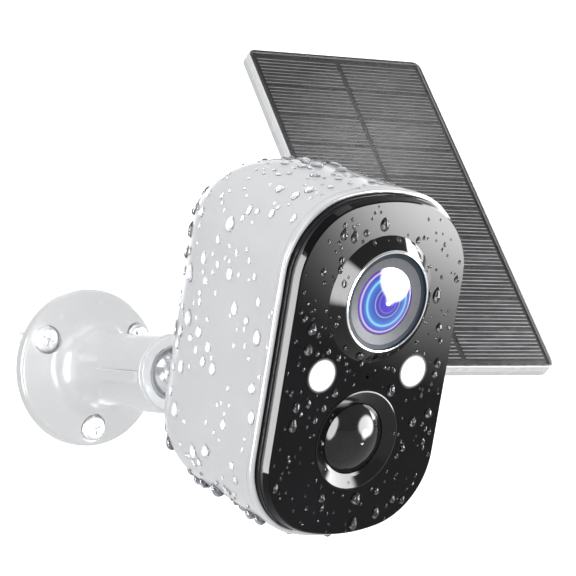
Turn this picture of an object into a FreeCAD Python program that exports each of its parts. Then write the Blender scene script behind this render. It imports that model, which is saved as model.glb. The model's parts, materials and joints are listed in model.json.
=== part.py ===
"""Solar-powered security camera: a camera head and a solar panel, each on a ball-joint wall mount.

World frame, millimetres: the wall is the plane y = 0, the product stands out towards -Y, X is to the
right when facing the wall and Z is up. The origin is the centre of the camera's wall base.

Every piece is drawn in a local frame whose Z points out of the wall (or out of the camera's face or
the panel's glass), Y up and X right. HEAD and PANEL frames start at their ball's centre.
"""
import FreeCAD, Part
import math
import os
import re
import Sketcher
from FreeCAD import Placement, Rotation, Vector

DIMENSIONS = {
    # pose
    "ball_out": (47.0, "camera ball centre in front of the wall"),
    "head_pan": (4.0, "camera head turned about the vertical"),
    "head_tilt": (15.1, "camera head tipped forwards"),
    "panel_ball_right": (87.7, "panel ball to the right of the camera mount"),
    "panel_ball_out": (32.9, "panel ball in front of the wall"),
    "panel_ball_up": (37.0, "panel ball above the camera mount"),
    "panel_tilt": (37.4, "panel leant back towards the sky"),
    "panel_pan": (-0.8, "panel turned about the vertical"),
    "panel_twist": (2.2, "panel turned about its stud"),
    "panel_neck_rise": (20.0, "angle at which the panel's neck climbs from the wall"),
    # wall mounts
    "base_radius": (25.0, "wall base"),
    "base_thick": (3.84, "wall base plate"),
    "base_edge": (1.2, "rounding of the base's rim"),
    "base_rise": (4.0, "rise of the base's face from its rim to its neck"),
    "flare_radius": (6.5, "hollow rounding between the base and its neck"),
    "panel_foot": (17.0, "domed foot of the panel base's leaning neck"),
    "neck_radius": (11.5, "neck"),
    "neck_shoulder": (8.3, "neck's shoulder behind the ball centre"),
    "spigot_radius": (10.6, "threaded end of the neck, inside the collar"),
    "spigot_end": (2.0, "end of the threaded spigot behind the ball centre"),
    "socket_radius": (9.7, "spherical seat"),
    "socket_floor": (9.0, "hollow behind the ball"),
    "liner_radius": (9.6, "outside of the nylon liner"),
    "liner_bore": (8.5, "inside of the nylon liner"),
    "liner_mouth": (7.6, "openings of the liner"),
    "ball_radius": (8.4, "ball"),
    "collar_radius": (12.3, "ring nut"),
    "collar_rear": (8.0, "rear end of the ring nut behind the ball centre"),
    "collar_front": (7.6, "front of the ring nut ahead of the ball centre"),
    "collar_lip": (11.5, "stepped lip at the front"),
    "collar_lip_depth": (0.8, "depth of the stepped lip"),
    "collar_edge": (0.25, "rounding of the lip's edges"),
    "collar_bore": (10.75, "bore over the spigot"),
    "collar_mouth": (8.86, "cone at the front face"),
    "collar_throat": (7.9, "narrowest opening of the cone"),
    "tab_width": (3.4, "lock tab"),
    "tab_rear": (16.5, "rear end of the lock tab behind the ball centre"),
    "tab_front": (5.6, "front end of the lock tab ahead of the ball centre"),
    "tab_bottom": (11.75, "underside of the lock tab from the axis"),
    "tab_top": (13.5, "top of the lock tab from the axis"),
    "tab_drop": (2.0, "angle of the lock tab below the horizontal"),
    "stud_radius": (3.1, "stud, quarter-inch thread"),
    "nut_flats": (11.1, "lock nut across flats"),
    "nut_thick": (3.0, "lock nut"),
    "screw_circle": (19.2, "wall screws' circle"),
    "screw_first": (30.0, "angle of the first wall screw"),
    "screw_head": (4.0, "pan head"),
    "screw_head_tall": (2.4, "height of the pan head"),
    "screw_seat": (4.6, "recess around the pan head"),
    "screw_seat_out": (4.1, "floor of the recess in front of the wall"),
    "screw_shank": (2.0, "screw thread"),
    "screw_shoulder": (2.35, "plain shank inside the base"),
    "screw_hole": (2.5, "clearance hole"),
    "screw_length": (16.0, "screw beyond the wall plane"),
    # camera housing, distances from the ball centre
    "head_up": (29.4, "housing centre above the stud axis"),
    "rim_out": (87.3, "front rim of the housing"),
    "half_wide": (31.66, "housing half width at the rim"),
    "half_tall": (50.22, "housing half height at the rim"),
    "corner_ratio": (0.732, "corner arc over half width"),
    "crown_ratio": (1.862, "crown arc over half width"),
    "shell_deep": (69.15, "housing behind the rim"),
    "taper_wide": (4.68, "narrowing to the back"),
    "taper_tall": (1.8, "lowering to the back"),
    "back_round": (32.74, "rounding of the back"),
    "shell_wall": (2.2, "housing wall"),
    "rim_wall": (1.35, "white rim seen from the front"),
    "rim_round": (0.45, "rounding of the white rim's inner edge"),
    "rim_shoulder": (0.8, "rounding of the white rim's outer edge"),
    "seam_behind": (2.2, "seam line behind the white rim"),
    "seam_wide": (0.22, "width of the seam line"),
    "seam_deep": (0.3, "seam line, from the widest outline"),
    "insert_face": (19.0, "mounting boss face"),
    "insert_radius": (4.6, "brass insert"),
    "insert_long": (12.0, "brass insert"),
    "insert_bore": (3.2, "thread of the insert"),
    # face
    "face_out": (92.3, "front of the black face"),
    "face_thick": (3.0, "black face plate"),
    "face_bevel": (0.7, "slope of the face plate's side"),
    "face_edge": (0.35, "chamfer around the face"),
    "trim_gap": (0.06, "trim ring inside the rim"),
    "trim_deep": (5.0, "trim ring"),
    "trim_wall": (2.6, "trim ring"),
    "lens_up": (49.7, "lens axis"),
    "bezel_radius": (18.07, "lens bezel at the face"),
    "bezel_rise": (2.98, "lens bezel above the face"),
    "bezel_spigot": (15.3, "bezel through the face plate"),
    "ring_radius": (14.31, "silver ring"),
    "ring_bore": (13.6, "silver ring"),
    "slate_bore": (12.3, "dark slate ring"),
    "grey_bore": (9.6, "grey ring around the glass"),
    "glass_radius": (9.5, "front glass"),
    "glass_bulge": (1.6, "front glass"),
    "pir_up": (9.07, "motion sensor axis"),
    "pir_radius": (14.35, "motion sensor funnel"),
    "pir_bore": (10.35, "bottom of the funnel"),
    "dome_radius": (10.05, "motion sensor dome"),
    "dome_deep": (1.5, "foot of the dome behind the face"),
    "dome_height": (4.0, "dome"),
    "dome_wall": (0.8, "dome"),
    "led_right": (16.46, "light window from the middle"),
    "led_up": (28.46, "light window"),
    "led_radius": (5.06, "light window"),
    "mic_up": (27.4, "microphone hole"),
    "mic_radius": (0.5, "microphone hole"),
    # inside the head
    "board_out": (78.0, "back of the front board"),
    "board_thick": (1.6, "circuit boards"),
    "chassis_out": (70.0, "back of the chassis plate"),
    "chassis_thick": (2.0, "chassis plate"),
    "main_out": (60.0, "back of the main board"),
    "cell_radius": (9.2, "battery cell"),
    "cell_long": (65.0, "battery cell"),
    "cell_right": (9.8, "battery cell from the middle"),
    "cell_out": (44.0, "battery cells' axis"),
    "boss_right": (21.0, "screw bosses from the middle"),
    "boss_up": (29.0, "screw bosses from the centre"),
    "port_back": (45.0, "service opening, near end"),
    "port_long": (16.0, "service opening"),
    "port_wide": (22.0, "service opening"),
    "port_block_down": (16.3, "port block below the ball centre"),
    "usb_x": (-4.5, "charging socket from the middle"),
    "usb_y": (3.6, "row of charging socket and reset button"),
    "card_x": (3.45, "card slot from the middle"),
    "card_y": (-4.2, "row of card slot and power button"),
    "reset_x": (6.4, "reset button from the middle"),
    "reset_radius": (1.4, "reset button"),
    "power_x": (-6.8, "power button from the middle"),
    "power_radius": (1.9, "power button"),
    "flap_thick": (1.4, "service flap"),
    "flap_gap": (0.25, "gap around the service flap"),
    "speaker_radius": (9.0, "loudspeaker"),
    "speaker_up": (43.4, "loudspeaker axis"),
    "sound_circle": (4.0, "circle of the sound holes"),
    "sound_hole": (0.8, "sound holes"),
    # panel
    "panel_wide": (69.5, "solar panel"),
    "panel_tall": (128.3, "solar panel"),
    "panel_thick": (5.3, "solar panel"),
    "panel_back": (18.7, "panel's back in front of its ball"),
    "panel_corner": (3.0, "corner of the panel"),
    "panel_edge": (0.8, "rounded edges of the panel"),
    "panel_rim": (1.1, "frame seen around the laminate"),
    "laminate_deep": (1.5, "recess for the laminate"),
    "cell_gap": (2.0, "dark gap between the two strings"),
    "cell_margin": (1.6, "laminate border"),
    "cell_pitch_gap": (0.7, "gap between cells of a string"),
    "box_wide": (34.0, "junction box"),
    "box_tall": (44.0, "junction box"),
    "box_deep": (4.0, "junction box"),
}
SCREWS_PER_BASE = 3
CELLS_PER_STRING = 10
SOUND_HOLES = 7
SIDE_STATIONS = 5
BACK_STATIONS = (0, 12, 24, 36, 47, 57, 65, 72)

doc = FreeCAD.newDocument("SolarCamera")
sheet = doc.addObject("Spreadsheet::Sheet", "Dims")
for row, (word, (value, meaning)) in enumerate(DIMENSIONS.items(), 1):
    sheet.set("A%d" % row, meaning)
    sheet.set("B%d" % row, str(value))
    sheet.setAlias("B%d" % row, word)
doc.recompute()

pieces = []


def dim(word):
    """The value of one cell of the sheet."""
    return float(getattr(sheet, word))


def linked(expression):
    """An expression in which each alias points at its cell."""
    return re.sub(r"[a-z_]+", lambda found: "Dims." + found.group(0)
                  if found.group(0) in DIMENSIONS else found.group(0), str(expression))


def bind(item, **properties):
    """Drive properties of an object from the sheet."""
    for name, expression in properties.items():
        item.setExpression(name, linked(expression))


def moved(x=0.0, y=0.0, z=0.0):
    return Placement(Vector(x, y, z), Rotation())


def turned_about(axis, degrees):
    return Placement(Vector(), Rotation(axis, degrees))


X_AXIS = Vector(1, 0, 0)
Y_AXIS = Vector(0, 1, 0)
Z_AXIS = Vector(0, 0, 1)
OUTWARDS = turned_about(X_AXIS, 90)

BASE = OUTWARDS
SOCKET = moved(0, -dim("ball_out"), 0) * OUTWARDS
LINER = moved(0, -dim("ball_out"), 0) * turned_about(Z_AXIS, dim("head_pan")) * OUTWARDS
HEAD = (moved(0, -dim("ball_out"), 0) * turned_about(Z_AXIS, dim("head_pan"))
        * turned_about(X_AXIS, dim("head_tilt")) * OUTWARDS)

panel_ball = moved(dim("panel_ball_right"), -dim("panel_ball_out"), dim("panel_ball_up"))
neck_lean = turned_about(X_AXIS, -dim("panel_neck_rise"))
panel_axis_drop = dim("panel_ball_out") * math.tan(math.radians(dim("panel_neck_rise")))
PANEL_BASE = moved(dim("panel_ball_right"), 0, dim("panel_ball_up") - panel_axis_drop) * OUTWARDS
PANEL_SOCKET = panel_ball * neck_lean * OUTWARDS
PANEL_LINER = panel_ball * turned_about(Z_AXIS, dim("panel_pan")) * neck_lean * OUTWARDS
PANEL = (panel_ball * turned_about(Z_AXIS, dim("panel_pan")) * turned_about(X_AXIS, -dim("panel_tilt"))
         * turned_about(Y_AXIS, dim("panel_twist")) * OUTWARDS)


# ---------------------------------------------------------------- building blocks
def finish(item, label, place):
    """Give a piece its name and place and put it on the list of sub-parts."""
    item.Label = label
    item.Placement = place
    pieces.append(item)
    return item


def new_body(name):
    return doc.addObject("PartDesign::Body", name)


def origin_plane(body, role):
    return next(plane for plane in body.Origin.OriginFeatures if plane.Role == role)


def new_sketch(body, role, height="0"):
    """A sketch on one of the body's own planes, raised by an expression."""
    sketch = body.newObject("Sketcher::SketchObject", body.Name + "Sketch")
    sketch.AttachmentSupport = [(origin_plane(body, role), "")]
    sketch.MapMode = "FlatFace"
    sketch.setExpression("AttachmentOffset.Base.z", linked(height))
    return sketch


def pin_point(sketch, geometry, point, across, up):
    """Hold one point of a sketch at two driven coordinates."""
    for kind, axis, expression in (("DistanceX", -2, across), ("DistanceY", -1, up)):
        if str(expression) == "0":
            sketch.addConstraint(Sketcher.Constraint("PointOnObject", geometry, point, axis))
            continue
        index = sketch.addConstraint(Sketcher.Constraint(kind, -1, 1, geometry, point, 1.0))
        name = "%s%d_%d" % (kind[-1], geometry, point)
        sketch.renameConstraint(index, name)
        sketch.setExpression("Constraints." + name, linked(expression))


def draw_polygon(sketch, corners):
    """A closed outline of straight lines through driven corners."""
    count = len(corners)
    start = [Vector(50 + 40 * math.cos(2 * math.pi * k / count),
                    50 + 40 * math.sin(2 * math.pi * k / count), 0) for k in range(count)]
    for k in range(count):
        sketch.addGeometry(Part.LineSegment(start[k], start[(k + 1) % count]), False)
    for k in range(count):
        sketch.addConstraint(Sketcher.Constraint("Coincident", k, 2, (k + 1) % count, 1))
    for k, (across, up) in enumerate(corners):
        pin_point(sketch, k, 1, across, up)


def draw_circles(sketch, circles):
    """Circles with driven centres and radii."""
    for k, (across, up, radius) in enumerate(circles):
        sketch.addGeometry(Part.Circle(Vector(k + 1.0, 1.0, 0), Z_AXIS, 1.0), False)
        pin_point(sketch, k, 3, across, up)
        index = sketch.addConstraint(Sketcher.Constraint("Radius", k, 1.0))
        sketch.renameConstraint(index, "radius%d" % k)
        sketch.setExpression("Constraints.radius%d" % k, linked(radius))


def turned_body(name, profile):
    """A body turned about Z from corners (radius, height)."""
    body = new_body(name)
    sketch = new_sketch(body, "XZ_Plane")
    draw_polygon(sketch, profile)
    turning = body.newObject("PartDesign::Revolution", name + "Turning")
    turning.Profile = sketch
    turning.ReferenceAxis = (sketch, ["V_Axis"])
    turning.Angle = 360
    sketch.Visibility = False
    return body


def block_body(name, x_mid, y_mid, x_size, y_size, low, height):
    """A body padded from a driven rectangle."""
    body = new_body(name)
    sketch = new_sketch(body, "XY_Plane", low)
    x_low, x_high = ("(%s) - (%s)/2" % (x_mid, x_size), "(%s) + (%s)/2" % (x_mid, x_size))
    y_low, y_high = ("(%s) - (%s)/2" % (y_mid, y_size), "(%s) + (%s)/2" % (y_mid, y_size))
    draw_polygon(sketch, [(x_low, y_low), (x_high, y_low), (x_high, y_high), (x_low, y_high)])
    pad = body.newObject("PartDesign::Pad", name + "Pad")
    pad.Profile = sketch
    bind(pad, Length=height)
    sketch.Visibility = False
    return body


def disc_body(name, x_mid, y_mid, radius, low, height):
    """A body padded from a driven circle."""
    body = new_body(name)
    sketch = new_sketch(body, "XY_Plane", low)
    draw_circles(sketch, [(x_mid, y_mid, radius)])
    pad = body.newObject("PartDesign::Pad", name + "Pad")
    pad.Profile = sketch
    bind(pad, Length=height)
    return body


def primitive(body, kind, x=0, y=0, z=0, turn=None, **sizes):
    """Add or subtract a primitive, placed by driven offsets, and make sure that it did something."""
    doc.recompute()
    before = body.Shape.Volume if body.Tip else 0.0
    item = body.newObject("PartDesign::" + kind, body.Name + kind)
    item.AttachmentSupport = [(origin_plane(body, "XY_Plane"), "")]
    item.MapMode = "FlatFace"
    if turn:
        item.AttachmentOffset = Placement(Vector(), turn)
    for axis, expression in zip("xyz", (x, y, z)):
        item.setExpression("AttachmentOffset.Base." + axis, linked(expression))
    bind(item, **sizes)
    doc.recompute()
    if abs(body.Shape.Volume - before) < 1e-6:
        raise RuntimeError("%s of %s changes nothing" % (kind, body.Name))
    return item


def drill(body, circles, top, deep):
    """Pocket circles downwards from a driven height, and make sure that they cut."""
    doc.recompute()
    before = body.Shape.Volume
    sketch = new_sketch(body, "XY_Plane", top)
    draw_circles(sketch, circles)
    pocket = body.newObject("PartDesign::Pocket", body.Name + "Pocket")
    pocket.Profile = sketch
    bind(pocket, Length=deep)
    doc.recompute()
    if body.Shape.Volume > before - 1e-6:
        raise RuntimeError("a pocket of %s cuts nothing" % body.Name)
    return pocket


def round_edges(body, radius, chosen):
    """Fillet the edges that a test picks."""
    doc.recompute()
    solid = body.Tip
    names = ["Edge%d" % (k + 1) for k, edge in enumerate(solid.Shape.Edges) if chosen(edge)]
    fillet = body.newObject("PartDesign::Fillet", body.Name + "Fillet")
    fillet.Base = (solid, names)
    bind(fillet, Radius=radius)
    doc.recompute()
    return fillet


def upright(edge):
    """A straight edge along Z."""
    return len(edge.Vertexes) == 2 and edge.BoundBox.XLength < 1e-6 and edge.BoundBox.YLength < 1e-6


def at_height(z):
    """A test for edges that lie in one plane of constant Z."""
    return lambda edge: abs(edge.BoundBox.ZMin - z) < 1e-6 and abs(edge.BoundBox.ZMax - z) < 1e-6


def formed(label, shape, place):
    """A piece whose shape is worked out with Part from the sheet's sizes."""
    item = doc.addObject("Part::Feature", label)
    item.Shape = shape
    return finish(item, label, place)


def box(x_low, x_high, y_low, y_high, z_low, z_high):
    return Part.makeBox(x_high - x_low, y_high - y_low, z_high - z_low, Vector(x_low, y_low, z_low))


def rod(x, y, radius, z_low, z_high):
    return Part.makeCylinder(radius, z_high - z_low, Vector(x, y, z_low))


# ---------------------------------------------------------------- ball-joint wall mounts
def cross_recess(head_radius, top, deep):
    """The four-armed drive of a Phillips screw."""
    arm = head_radius * 0.55
    slot = head_radius * 0.11
    return box(-arm, arm, -slot, slot, top - deep, top + 1).fuse(
        box(-slot, slot, -arm, arm, top - deep, top + 1))


def pan_screw(shank, tip_z, head, head_tall, seat_z, shoulder=0.0):
    """A pan-head screw along Z: head on seat_z, point at tip_z, and a plain shoulder in front of z = 0."""
    point = 2.5 * shank
    body = Part.makeCylinder(shank, seat_z - tip_z - point, Vector(0, 0, tip_z + point))
    if shoulder:
        body = body.fuse(Part.makeCylinder(shoulder, seat_z))
    body = body.fuse(Part.makeCone(0.3, shank, point, Vector(0, 0, tip_z)))
    body = body.fuse(Part.makeCylinder(head, head_tall, Vector(0, 0, seat_z)))
    rim = [edge for edge in body.Edges if at_height(seat_z + head_tall)(edge)]
    body = body.makeFillet(head_tall * 0.55, rim)
    return body.cut(cross_recess(head, seat_z + head_tall, head_tall * 0.6))


def wall_screws(label, place):
    """Three screws in the recesses of a wall base."""
    screws = []
    for k in range(SCREWS_PER_BASE):
        angle = math.radians(dim("screw_first") + 360.0 * k / SCREWS_PER_BASE)
        screw = pan_screw(dim("screw_shank"), -dim("screw_length"), dim("screw_head"),
                          dim("screw_head_tall"), dim("screw_seat_out"), dim("screw_shoulder"))
        screw.rotate(Vector(), Z_AXIS, 35.0 * (k + 1))
        screw.translate(Vector(dim("screw_circle") * math.cos(angle),
                               dim("screw_circle") * math.sin(angle), 0))
        screws.append(screw)
    formed(label, Part.makeCompound(screws), place)


def screw_places(radius):
    """Expressions for the circles of the wall screws."""
    angles = ["(screw_first + %g) * 1 deg" % (360.0 * k / SCREWS_PER_BASE) for k in range(SCREWS_PER_BASE)]
    return [("screw_circle * cos(%s)" % angle, "screw_circle * sin(%s)" % angle, radius) for angle in angles]


def seat_for_ball(body, centre):
    """The spherical seat and the hollow behind it in a neck's end."""
    primitive(body, "SubtractiveSphere", z=centre, Radius="socket_radius")
    primitive(body, "SubtractiveCylinder", z="%s - socket_floor - 2" % centre,
              Radius="socket_radius * 0.55", Height="8")


def camera_base():
    shoulder = "ball_out - neck_shoulder"
    end = "ball_out - spigot_end"
    foot = dim("base_thick") + dim("base_rise")
    body = turned_body("camera_wall_base", [
        ("0", "0"), ("base_radius", "0"), ("base_radius", "base_thick"),
        ("neck_radius", "base_thick + base_rise"), ("neck_radius", shoulder),
        ("spigot_radius", shoulder), ("spigot_radius", end), ("0", end)])
    round_edges(body, "flare_radius", at_height(foot))
    round_edges(body, "base_edge", at_height(dim("base_thick")))
    round_edges(body, "base_edge / 3", at_height(0))
    shoulder_z = dim("ball_out") - dim("neck_shoulder")
    outer = 2 * math.pi * dim("neck_radius") - 1
    round_edges(body, "base_edge / 3", lambda edge: at_height(shoulder_z)(edge) and edge.Length > outer)
    seat_for_ball(body, "ball_out")
    drill(body, screw_places("screw_seat"), "screw_seat_out + 10", "10")
    drill(body, screw_places("screw_hole"), "base_thick + base_rise", "base_thick + base_rise")
    finish(body, "camera_wall_base", BASE)


def panel_base():
    """The panel's base plate with a neck that climbs towards the panel."""
    rise = math.radians(dim("panel_neck_rise"))
    reach = dim("panel_ball_out") / math.cos(rise)
    lean = Placement(Vector(), Rotation(X_AXIS, -dim("panel_neck_rise")))
    plate = turned_body("PanelPlate", [
        ("0", "0"), ("base_radius", "0"), ("base_radius", "base_thick"),
        ("neck_radius", "base_thick + base_rise"), ("0", "base_thick + base_rise")])
    round_edges(plate, "base_edge", at_height(dim("base_thick")))
    neck = doc.addObject("Part::Cylinder", "PanelNeck")
    bind(neck, Radius="neck_radius", Height="panel_ball_out / cos(panel_neck_rise * 1 deg) - neck_shoulder")
    spigot = doc.addObject("Part::Cylinder", "PanelSpigot")
    bind(spigot, Radius="spigot_radius", Height="panel_ball_out / cos(panel_neck_rise * 1 deg) - spigot_end")
    neck.Placement = lean
    spigot.Placement = lean
    stem = doc.addObject("Part::MultiFuse", "PanelStem")
    foot = doc.addObject("Part::Sphere", "PanelFoot")
    bind(foot, Radius="panel_foot")
    stem.Shapes = [plate, neck, spigot, foot]
    behind_wall = doc.addObject("Part::Box", "BehindWall")
    bind(behind_wall, Length="3 * base_radius", Width="3 * base_radius", Height="base_radius")
    behind_wall.Placement = moved(-1.5 * dim("base_radius"), -1.5 * dim("base_radius"), -dim("base_radius"))
    ball_room = doc.addObject("Part::Sphere", "PanelSeat")
    bind(ball_room, Radius="socket_radius")
    ball_room.Placement = lean * moved(0, 0, reach)
    floor_room = doc.addObject("Part::Cylinder", "PanelSeatFloor")
    bind(floor_room, Radius="socket_radius * 0.55", Height="8")
    floor_room.Placement = lean * moved(0, 0, reach - dim("socket_floor") - 2)
    cutters = [behind_wall, ball_room, floor_room]
    for k in range(SCREWS_PER_BASE):
        angle = math.radians(dim("screw_first") + 360.0 * k / SCREWS_PER_BASE)
        spot = moved(dim("screw_circle") * math.cos(angle), dim("screw_circle") * math.sin(angle), 0)
        hole = doc.addObject("Part::Cylinder", "PanelScrewHole")
        bind(hole, Radius="screw_hole", Height="20")
        hole.Placement = spot
        recess = doc.addObject("Part::Cylinder", "PanelScrewSeat")
        bind(recess, Radius="screw_seat", Height="20")
        recess.Placement = spot * moved(0, 0, dim("screw_seat_out"))
        cutters += [hole, recess]
    room = doc.addObject("Part::MultiFuse", "PanelBaseRoom")
    room.Shapes = cutters
    base = doc.addObject("Part::Cut", "PanelBase")
    base.Base = stem
    base.Tool = room
    finish(base, "panel_wall_base", PANEL_BASE)


def collar(label, place, slotted):
    """The ring nut: bore over the spigot, seat, cone-shaped mouth and a stepped lip."""
    body = turned_body(label, [
        ("collar_bore", "-collar_rear"), ("collar_radius - 0.5", "-collar_rear"),
        ("collar_radius", "0.5 - collar_rear"), ("collar_radius", "collar_front - collar_lip_depth"),
        ("collar_lip", "collar_front - collar_lip_depth"), ("collar_lip", "collar_front"),
        ("collar_mouth", "collar_front"), ("collar_throat", "collar_front - 2.1"),
        ("collar_throat", "-spigot_end + 0.3"), ("collar_bore", "-spigot_end + 0.3")])
    doc.recompute()
    front = at_height(dim("collar_front"))
    lip = at_height(dim("collar_front") - dim("collar_lip_depth"))
    widest = 2 * math.pi * dim("collar_radius") - 1
    round_edges(body, "collar_edge", lambda edge: front(edge) or lip(edge) and edge.Length > widest)
    primitive(body, "SubtractiveSphere", Radius="socket_radius")
    if slotted:
        primitive(body, "SubtractiveBox",
                  x="-collar_radius - 2", y="-tab_width/2 - 0.1", z="-collar_rear - 1",
                  Length="collar_radius + 2 - tab_bottom + 0.1", Width="tab_width + 0.2",
                  Height="collar_rear + 1 + tab_front + 0.2")
    finish(body, label, place)


def lock_tab():
    """The sliding tab in the ring nut's slot, which reaches back over the neck."""
    body = block_body("camera_lock_tab", "-(tab_bottom + tab_top)/2", "0",
                      "tab_top - tab_bottom", "tab_width", "-tab_rear", "tab_rear + tab_front")
    round_edges(body, 0.3, lambda edge: upright(edge) and edge.BoundBox.XMin < -dim("tab_top") + 0.1)
    finish(body, "camera_lock_tab", SOCKET * turned_about(Z_AXIS, dim("tab_drop")))


def liner(label, place):
    """A spherical nylon liner, open at both ends."""
    ball = doc.addObject("Part::Sphere", label + "_outside")
    bind(ball, Radius="liner_radius")
    hollow = doc.addObject("Part::Sphere", label + "_inside")
    bind(hollow, Radius="liner_bore")
    mouth = doc.addObject("Part::Cylinder", label + "_mouth")
    bind(mouth, Radius="liner_mouth", Height="liner_radius * 3")
    mouth.Placement = moved(0, 0, -1.5 * dim("liner_radius"))
    room = doc.addObject("Part::MultiFuse", label + "_room")
    room.Shapes = [hollow, mouth]
    shell = doc.addObject("Part::Cut", label)
    shell.Base = ball
    shell.Tool = room
    finish(shell, label, place)


def ball_stud(label, stud_end, place):
    """A ball with its threaded stud."""
    body = new_body(label)
    primitive(body, "AdditiveSphere", Radius="ball_radius")
    primitive(body, "AdditiveCylinder", Radius="stud_radius", Height=stud_end)
    round_edges(body, 0.5, at_height(stud_end_value(stud_end)))
    finish(body, label, place)


def stud_end_value(expression):
    """The height of a stud's end, for choosing its edge."""
    words = [part.strip() for part in expression.split("+")]
    return sum(dim(word) if word in DIMENSIONS else float(word) for word in words)


def lock_nut(label, low, place):
    """A hexagonal lock nut on the stud."""
    hexagon = doc.addObject("Part::Prism", label + "_hexagon")
    hexagon.Polygon = 6
    bind(hexagon, Circumradius="nut_flats / 2 / cos(30 deg)", Height="nut_thick")
    crown = doc.addObject("Part::Cone", label + "_crown")
    bind(crown, Radius1="nut_flats / 2 + 2.2", Radius2="nut_flats / 2 - 0.1", Height="nut_thick")
    thread = doc.addObject("Part::Cylinder", label + "_thread")
    bind(thread, Radius="stud_radius + 0.05", Height="nut_thick")
    rounded = doc.addObject("Part::Common", label + "_rounded")
    rounded.Base = hexagon
    rounded.Tool = crown
    nut = doc.addObject("Part::Cut", label)
    nut.Base = rounded
    nut.Tool = thread
    finish(nut, label, place * moved(0, 0, low + dim("nut_thick")) * turned_about(X_AXIS, 180))


# ---------------------------------------------------------------- housing outline
def outline(half_wide, half_tall, z, corner=None, crown=None):
    """The housing's outline: straight sides, round corners and arched top and bottom, at one depth."""
    corner = corner if corner else dim("corner_ratio") * half_wide
    crown = crown if crown else dim("crown_ratio") * half_wide
    crown_y = half_tall - crown
    corner_x = half_wide - corner
    corner_y = crown_y + math.sqrt((crown - corner) ** 2 - corner_x ** 2)
    away = math.atan2(corner_y - crown_y, corner_x)
    middle = away / 2
    joint = Vector(corner_x + corner * math.cos(away), corner_y + corner * math.sin(away), z)
    bend = Vector(corner_x + corner * math.cos(middle), corner_y + corner * math.sin(middle), z)
    side = Vector(half_wide, corner_y, z)

    def at(point, right, up):
        return Vector(right * point.x, dim("head_up") + up * point.y, z)

    top = Vector(0, half_tall, z)
    edges = [
        Part.LineSegment(at(side, 1, -1), at(side, 1, 1)),
        Part.Arc(at(side, 1, 1), at(bend, 1, 1), at(joint, 1, 1)),
        Part.Arc(at(joint, 1, 1), at(top, 1, 1), at(joint, -1, 1)),
        Part.Arc(at(joint, -1, 1), at(bend, -1, 1), at(side, -1, 1)),
        Part.LineSegment(at(side, -1, 1), at(side, -1, -1)),
        Part.Arc(at(side, -1, -1), at(bend, -1, -1), at(joint, -1, -1)),
        Part.Arc(at(joint, -1, -1), at(top, 1, -1), at(joint, 1, -1)),
        Part.Arc(at(joint, 1, -1), at(bend, 1, -1), at(side, 1, -1)),
    ]
    return Part.Wire([edge.toShape() for edge in edges])


def housing_solid(inset, ahead=0.0):
    """The housing's outer form drawn in by an inset: tapered sides and a deeply rounded back."""
    straight = dim("shell_deep") - dim("back_round")
    rounding = dim("back_round") - inset
    stations = [(straight * k / SIDE_STATIONS - ahead * (1 - k / SIDE_STATIONS), 0.0)
                for k in range(SIDE_STATIONS)]
    for degrees in BACK_STATIONS:
        angle = math.radians(degrees)
        stations.append((straight + rounding * math.sin(angle), rounding * (1 - math.cos(angle))))
    wires = []
    for behind, drawn_in in stations:
        share = behind / dim("shell_deep")
        wide = dim("half_wide") - dim("taper_wide") * share - inset - drawn_in
        tall = dim("half_tall") - dim("taper_tall") * share - inset - drawn_in
        wires.append(outline(wide, tall, dim("rim_out") - behind))
    return Part.makeLoft(wires, True, False)


def slab(half_wide, half_tall, z_low, z_high):
    """A plate with the housing's outline."""
    face = Part.Face(outline(half_wide, half_tall, z_low))
    return face.extrude(Vector(0, 0, z_high - z_low))


def on_outline(edge, half_wide, half_tall):
    """Whether an edge of the rim lies on the outline of this size, rather than inside it."""
    middle = edge.valueAt((edge.FirstParameter + edge.LastParameter) / 2)
    wire = outline(half_wide, half_tall, middle.z)
    return Part.Vertex(middle).distToShape(wire)[0] < 0.3


def boss_places():
    return [(side * dim("boss_right"), dim("head_up") + level * dim("boss_up"))
            for side in (-1, 1) for level in (-1, 1)]


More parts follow.
